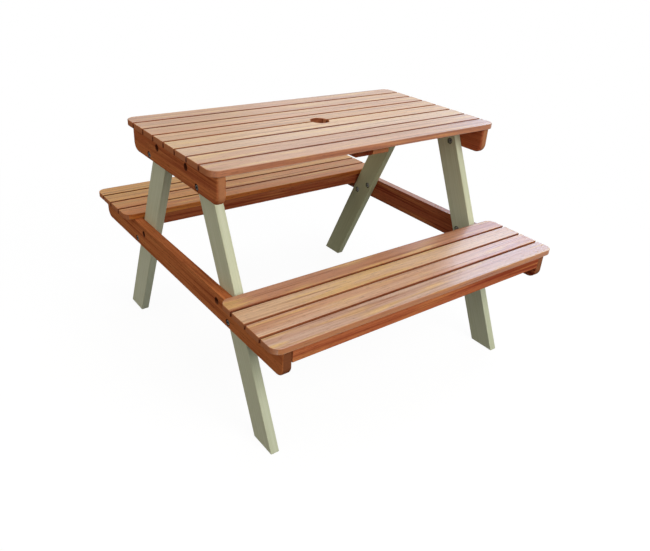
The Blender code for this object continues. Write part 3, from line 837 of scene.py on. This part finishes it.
def reach(solid, axis):
    """How far a solid reaches along one axis."""
    low, high = span(solid, axis)
    return high - low


def middle(solid, axis):
    """The middle of a solid along one axis."""
    return sum(span(solid, axis)) / 2


print("a seat rail's thickness, mm:", round(reach("left_seat_rail", 0) / MM, 1))

# %% Put in the bolts and note their holes
BOLTED_BOARDS = {1: "top_batten", 2: "top_batten", 3: "seat_rail", 4: "seat_rail"}

shapes = {}
for end in ENDS:
    for side, sign in SIDES.items():
        leg = f"{end}_{side}_leg"
        for number, kind in BOLTED_BOARDS.items():
            board = f"{side}_{kind}"
            solid = f"{leg}_bolt_{number}"
            low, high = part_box(solid)
            board_face = max(sign * x for x in span(board, 0))
            head_face = max(sign * low.x, sign * high.x)
            # Rounded to 0.01 mm, so that bolts of one depth share their shapes
            depth = round(board_face - head_face + HEAD_HEIGHT + GAP, 5)
            if depth not in shapes:
                shapes[depth] = bolt_shapes(depth, reach(board, 0), reach(leg, 0))
            bolt_mesh, nut_mesh, hole_mesh = shapes[depth]
            place = Matrix.Translation((sign * board_face, middle(solid, 1), middle(solid, 2)))
            place = place @ Matrix.Rotation(sign * QUARTER_TURN, 4, "Y")
            bolt = new_piece(f"{solid}_head", bolt_mesh, bolt_zinc, place)
            nut = new_piece(f"{solid}_nut", nut_mesh, nut_zinc, place)
            smooth(bolt)
            smooth(nut)
            hand_over(bolt, "bolt_steel", solid)
            hand_over(nut, "bolt_steel")
            bore([board, leg], hole_mesh, place)
print("bolt head depths, mm:", sorted(round(depth / MM, 2) for depth in shapes))

# %% [markdown]
# ## Wood screws
# Every slat is screwed from below, so nothing shows on top. Short screws go through the flat
# battens in the middle. The boards on edge have deep holes, and long screws start up to half way
# inside them. Only the heads can be seen, and only from underneath, so the head gets a bevelled
# rim and a crossed recess, and the shank stays smooth. The long screws of one board are joined
# into one piece, because nobody will ever need them apart.

# %% Turn a screw, its recess and its hole
SCREW_RADIUS = 1.8 * MM
BLUNT_TIP = 0.5 * SCREW_RADIUS
SCREW_HEAD = (3.5 * MM, 2.0 * MM)
SCREW_RECESS_CLEARANCE = 0.6 * MM
SCREW_BITE_SHARE = 0.65
CROSS = (3.8 * MM, 0.9 * MM, 1.1 * MM)
SCREW_SIDES = 20


def screw_shapes(bottom, recess, slat):
    """A screw and its hole, up from a board's underside into a slat, at their true heights."""
    underside, top = span(slat, 2)
    seat = bottom + recess - GAP
    tip = underside + SCREW_BITE_SHARE * (top - underside)
    radius, height = SCREW_HEAD
    foot = seat - height
    screw = turned("wood_screw", [
        (0.0, tip),
        (BLUNT_TIP, tip - SCREW_RADIUS),
        (SCREW_RADIUS, tip - 2 * SCREW_RADIUS),
        (SCREW_RADIUS, seat),
        (radius, seat),
        (radius, foot + RIM_CHAMFER),
        (radius - RIM_CHAMFER, foot),
        (0.0, foot),
    ], SCREW_SIDES)
    hole_radius = radius + SCREW_RECESS_CLEARANCE
    hole = turned("screw_hole", [
        (0.0, tip + CLEARANCE),
        (SCREW_RADIUS + CLEARANCE, tip + CLEARANCE),
        (SCREW_RADIUS + CLEARANCE, bottom + recess),
        (hole_radius, bottom + recess),
        (hole_radius, bottom - OVERRUN),
        (0.0, bottom - OVERRUN),
    ], SCREW_SIDES)
    return screw, hole, foot


def crossed_recess(foot):
    """The tip of the driver, a bar with a cross for its outline, which presses in the recess."""
    length, width, depth = CROSS
    far, near = length / 2, width / 2
    arm = (Vector((far, -near)), Vector((far, near)), Vector((near, near)))
    outline = [Matrix.Rotation(QUARTER_TURN * turns, 2) @ corner
               for turns in range(4) for corner in arm]
    mesh = blank("driver", outline, 2 * depth, 1.0)
    mesh.transform(Matrix.Translation((0, 0, foot)))
    return mesh


print("arms of a crossed recess, mm long:", CROSS[0] / MM)

# %% Drive one kind of screw
def drive(name, screw, foot, places):
    """One piece that holds the same screw at each place, each with its driver's recess."""
    shape = bmesh.new()
    single = new_piece("single_screw", screw.copy(), screw_zinc, Matrix())
    take_out(single, [(crossed_recess(foot), Matrix())], screw_zinc)
    for x, y in places:
        copy = single.data.copy()
        copy.transform(Matrix.Translation((x, y, 0.0)))
        shape.from_mesh(copy)
        bpy.data.meshes.remove(copy)
    bpy.data.objects.remove(single)
    mesh = mesh_of(name, shape)
    centre = Vector((sum(x for x, y in places), sum(y for x, y in places), 0.0)) / len(places)
    centre.z = foot
    mesh.transform(Matrix.Translation(-centre))
    piece = new_piece(name, mesh, screw_zinc, Matrix.Translation(centre))
    smooth(piece)
    return piece


def long_screws(board, slats, places, share):
    """Long screws up through a board on edge, deep in it by this share of its width."""
    bottom, top = span(board, 2)
    screw, hole, foot = screw_shapes(bottom, share * (top - bottom), slats[0])
    for place in places:
        bore([board, *slats], hole, Matrix.Translation((*place, 0.0)))
    piece = drive(f"{board}_screws_{slats[0].split('_')[0]}", screw, foot, places)
    hand_over(piece, "screw_steel")


def short_screw(solid, board, slat):
    """A short screw in place of its solid, through a flat batten."""
    screw, hole, foot = screw_shapes(span(board, 2)[0], SCREW_HEAD[1] + 2 * GAP, slat)
    place = (middle(solid, 0), middle(solid, 1))
    bore([board, slat], hole, Matrix.Translation((*place, 0.0)))
    hand_over(drive(solid + "_driven", screw, foot, [place]), "screw_steel", solid)


print("a screw's bite, as a share of a slat:", SCREW_BITE_SHARE)

# %% Put in all the screws
DEEP_SHARE = 0.50
SHALLOW_SHARE = 0.20
APRON_SCREW_SHARE = 0.30
TOP_SCREW_SHIFT_SHARE = 0.10

top_slats = [f"top_slat_{number}" for number in range(1, 9)]
bench_slats = {end: [f"{end}_bench_slat_{number}" for number in range(1, 5)] for end in ENDS}
shift = TOP_SCREW_SHIFT_SHARE * reach("top_slat_2", 1)
for side in SIDES:
    board = f"{side}_top_batten"
    lines = [middle(slat, 1) + math.copysign(shift, middle(slat, 1)) for slat in top_slats]
    long_screws(board, top_slats, [(middle(board, 0), y) for y in lines], DEEP_SHARE)
for number, slat in enumerate(top_slats, start=1):
    batten = "left_centre_batten" if number % 2 else "right_centre_batten"
    short_screw(f"top_screw_{number}", batten, slat)
for end in ENDS:
    slats = bench_slats[end]
    for side in SIDES:
        board = f"{side}_seat_rail"
        places = [(middle(board, 0), middle(slat, 1)) for slat in slats]
        long_screws(board, slats, places, DEEP_SHARE)
    apart = APRON_SCREW_SHARE * reach(slats[0], 0)
    for name, slat in (("inner", slats[0]), ("outer", slats[-1])):
        board = f"{end}_bench_{name}_apron"
        places = [(sign * apart, middle(board, 1)) for sign in SIDES.values()]
        long_screws(board, [slat], places, SHALLOW_SHARE)
    for number, slat in enumerate(slats[1:-1], start=1):
        short_screw(f"{end}_bench_screw_{number}", f"{end}_bench_centre_batten", slat)
one_screw = bpy.data.objects["top_screw_1_driven"]
print("boards with holes:", len(bores))
print("faces of one screw:", len(one_screw.data.polygons))

# %% [markdown]
# ## Parasol hole
# A small round hole goes through the two middle slats and the two flat battens under them, for the
# pole of a parasol. Its rim is rounded over with sandpaper, so the cutter flares at the top.

# %% Note the parasol hole
PARASOL_RADIUS = 20 * MM
PARASOL_SIDES = 72
PARASOL_EASING = 1.2 * MM

table_top = span("top_slat_4", 2)[1]
below = span("left_centre_batten", 2)[0] - OVERRUN
plug = turned("parasol_hole", [
    (0.0, table_top + OVERRUN),
    (PARASOL_RADIUS + PARASOL_EASING, table_top + OVERRUN),
    *quarter_round(PARASOL_RADIUS, table_top, -PARASOL_EASING),
    (PARASOL_RADIUS, below),
    (0.0, below),
], PARASOL_SIDES)
bore(["top_slat_4", "top_slat_5", "left_centre_batten", "right_centre_batten"], plug, Matrix())
print("parasol hole, mm:", 2 * PARASOL_RADIUS / MM)

# %% [markdown]
# ## Slats
# The slats of the top and the benches are one stock, planed on four sides, with a soft rounded
# edge that catches the light as a thin pale line. Only the outermost slats have large round
# corners. The sides that face another slat get a darker wood, which is painted shade: it makes the
# gaps read as crisp lines. No two boards of a real table match: some are honey, some rosy, some
# dark. So each board is given its own tone and warmth, a few boards also a pale silvery colour that
# is painted sheen, and its place in the log is drawn from seeded random numbers, which come out the
# same every time.

# %% Choose ends and warmth, and cut from the log
# How pale a board's sawn ends are, 0 dark and 1 pale. The pale ends of the top battens are a painted
# reflection of the front lamp
PAINTED_END_SHEEN = {"left_top_batten": 0.8, "right_top_batten": 0.8, "left_seat_rail": 0.2,
             "right_seat_rail": 0.45, "left_centre_batten": 0.0}
USUAL_END = 0.5
# Above zero the board is more golden, and below zero it turns pale and silvery, which is painted
# sheen
WARMTH = {"top_slat_2": 0.10, "top_slat_3": 0.05, "top_slat_4": 0.25, "top_slat_5": 0.15,
          "top_slat_6": -0.20, "top_slat_7": -0.12, "top_slat_8": -0.15,
          "front_bench_slat_2": 0.20, "front_bench_slat_4": -0.35}
LOG_LENGTH = 30.0
LOG_RADIUS = (30 * MM, 90 * MM)
LOG_SEED = 11
sawmill = random.Random(LOG_SEED)


def cut_from_log():
    """A place in the log: how far along it, and which way and how far out from its heart."""
    turn = sawmill.uniform(0, math.tau)
    radius = sawmill.uniform(*LOG_RADIUS)
    return (sawmill.uniform(0, LOG_LENGTH), radius * math.cos(turn), radius * math.sin(turn))


print("boards with a warmth of their own:", len(WARMTH))

# %% Make a board in place of a solid
EDGE_SEGMENTS = 4
FACING = 0.5
# The walls of holes get a darker finish than the board: painted shade
HOLE_FINISHES = {leg_paint: recess_shade_paint, frame_wood: shade_wood}


def refinish(piece, finish, *ways):
    """Gives the faces that look along one of these directions of the board another finish."""
    piece.data.materials.append(finish)
    for face in piece.data.polygons:
        if any(face.normal.dot(way) > FACING for way in ways):
            face.material_index = len(piece.data.materials) - 1


def make_board(solid, outline, thickness, turn, easing, finish, slot, tone, top_share=1.0):
    """A finished board in place of a solid, with its edges eased and its holes bored."""
    name = solid + "_board"
    place = Matrix.Translation(box_of(solid)[0]) @ turn
    piece = new_piece(name, blank(name, outline, thickness, top_share), finish, place)
    eased = piece.modifiers.new("eased edges", "BEVEL")
    eased.width = easing
    eased.segments = EDGE_SEGMENTS
    eased.limit_method = "WEIGHT"
    settle(piece)
    if solid in bores:
        take_out(piece, bores[solid], HOLE_FINISHES.get(finish, frame_wood))
    smooth(piece)
    piece["cut_from"] = cut_from_log()
    piece["tone"] = tone
    piece["painted_end_sheen"] = PAINTED_END_SHEEN.get(solid, USUAL_END)
    piece["warmth"] = WARMTH.get(solid, 0.0)
    hand_over(piece, slot, solid)
    return piece


print("finishes inside holes:", *(inside.name for inside in HOLE_FINISHES.values()))

# %% Make the slats
SLAT_EASING = 1.2 * MM
SLAT_CORNER = 20 * MM
SAWN_ENDS = (Vector((-1.0, 0.0, 0.0)), Vector((1.0, 0.0, 0.0)))
LOW_SIDE = Vector((0.0, -1.0, 0.0))
HIGH_SIDE = Vector((0.0, 1.0, 0.0))
TOP_TONES = (1.50, 1.00, 0.90, 1.30, 0.20, -0.40, 0.60, 1.15)
BENCH_TONES = {"front": (1.20, -0.20, 0.32, 0.15), "back": (0.65, 0.80, 0.05, -0.15)}


def make_slat(solid, round_front, round_back, finish, slot, tone):
    """A slat, with round corners along its front or its back if nothing lies beside it there."""
    size = box_of(solid)[1]
    outline = rectangle(size.x, size.y, SLAT_CORNER * round_front, SLAT_CORNER * round_back)
    slat = make_board(solid, outline, size.z, FLAT_ALONG_X, SLAT_EASING, finish, slot, tone)
    refinish(slat, end_wood, *SAWN_ENDS)
    sides = ((LOW_SIDE, round_front), (HIGH_SIDE, round_back))
    # Sides that face another slat get the darker wood: painted shade in the gaps
    refinish(slat, shade_wood, *(way for way, rounded in sides if not rounded))


for index, solid in enumerate(top_slats):
    first, last = index == 0, index == len(top_slats) - 1
    make_slat(solid, last, first, top_wood, "slat_wood", TOP_TONES[index])
for end, sign in ENDS.items():
    finish = seat_wood if end == "front" else bench_wood
    for index, solid in enumerate(bench_slats[end]):
        first, last = index == 0, index == len(bench_slats[end]) - 1
        make_slat(solid, *(first, last)[::sign], finish, "bench_wood", BENCH_TONES[end][index])
print("slats:", len(top_slats) + sum(len(slats) for slats in bench_slats.values()))

# %% [markdown]
# ## Boards under the slats
# The end battens and the seat rails stand on edge outside the legs, with their lower corners
# rounded. Their edges are rounded over boldly, all but the top ones, which the slats lie on. A Bevel
# modifier gives one width to every edge, unless the edges carry weights, so these do. Aprons on edge
# stiffen the benches, and flat battens tie the middle slats together. All are the redder wood of the
# frame. The top edge of the right rail alone gets the paler, glossy wood of the front slats, so that
# it shows as a pale line: partly painted sheen.

# %% Make the battens, rails and aprons
BATTEN_EASING = 6.5 * MM
RAIL_EASING = 3.0 * MM
FRAME_TOP_SHARE = 0.25
HIDDEN_EASING = 1.0 * MM
FRAME_CORNER = 20 * MM
# The right batten and rail show their inner faces, in shade under the table: their high tones darken
# and redden them as painted shade, and the low tones make the lit left pair paler, as painted light
FRAME_TONES_AND_SHADE = {"left_top_batten": 0.15, "right_top_batten": 1.20, "left_seat_rail": -0.10,
               "right_seat_rail": 1.50}
BATTEN_TONES = {"left": 1.0, "right": 0.5}
APRON_TONE = 1.1
BENCH_BATTEN_TONE = 0.7


def flat_batten(solid, tone):
    """A batten that lies flat under the slats, across them."""
    size = box_of(solid)[1]
    make_board(solid, rectangle(size.y, size.x), size.z, FLAT_ALONG_Y, HIDDEN_EASING,
               frame_wood, "frame_wood", tone)


for solid, tone in FRAME_TONES_AND_SHADE.items():
    size = box_of(solid)[1]
    easing = BATTEN_EASING if solid.endswith("batten") else RAIL_EASING
    outline = rectangle(size.y, size.z, FRAME_CORNER, 0.0)
    board = make_board(solid, outline, size.x, ON_EDGE_ALONG_Y, easing, frame_wood, "frame_wood",
                       tone, FRAME_TOP_SHARE)
    # The right rail's top edge gets the paler front-slat wood, so that it shows as a pale line:
    # partly painted sheen
    if solid == "right_seat_rail":
        refinish(board, seat_wood, HIGH_SIDE)
for side, tone in BATTEN_TONES.items():
    flat_batten(f"{side}_centre_batten", tone)
for end in ENDS:
    for name in ("inner", "outer"):
        solid = f"{end}_bench_{name}_apron"
        size = box_of(solid)[1]
        make_board(solid, rectangle(size.x, size.z), size.y, ON_EDGE_ALONG_X, HIDDEN_EASING,
                   frame_wood, "frame_wood", APRON_TONE)
    flat_batten(f"{end}_bench_centre_batten", BENCH_BATTEN_TONE)
print("frame boards:", len(FRAME_TONES_AND_SHADE) + len(BATTEN_TONES) + 3 * len(ENDS))

# %% [markdown]
# ## Legs
# Each leg is a straight board that leans in towards the middle of the table and is sawn level at the
# floor and under the slats, so its outline is a slanted four-sided figure. The object could be
# turned to the lean, but then its own box would be larger than the leg. It stays square to the floor
# instead, and carries the direction of its lean, which the paint reads so that the brush marks
# follow the leg. Each leg also has a tone that darkens its paint: the back right leg, deep under the
# table, gets painted shade this way.

# %% Make the legs
LEG_EASING = 1.5 * MM
FOOT_OFFSET = 306 * MM
FRAME_WIDTH = 56 * MM
# The back right leg stands deep under the table, so its paint is darkened as painted shade
PAINTED_LEG_SHADE = {"back_right_leg": 1.0}

for end, end_sign in ENDS.items():
    for side in SIDES:
        solid = f"{end}_{side}_leg"
        centre, size = box_of(solid)
        run = 2 * (centre.y - end_sign * FOOT_OFFSET)
        up_the_leg = Vector((run, size.z, 0.0)).normalized()
        half_cut = FRAME_WIDTH / up_the_leg.y / 2
        foot, head = (-run / 2, -size.z / 2), (run / 2, size.z / 2)
        outline = [(y + cut, z) for (y, z), cut in
                   ((foot, -half_cut), (foot, half_cut), (head, half_cut), (head, -half_cut))]
        piece = make_board(solid, outline, size.x, ON_EDGE_ALONG_Y, LEG_EASING, leg_paint,
                           "leg_paint", PAINTED_LEG_SHADE.get(solid, 0.0))
        piece["up_the_leg"] = list(up_the_leg)
print("lean of a leg, degrees:", round(math.degrees(math.atan2(abs(run), size.z)), 1))
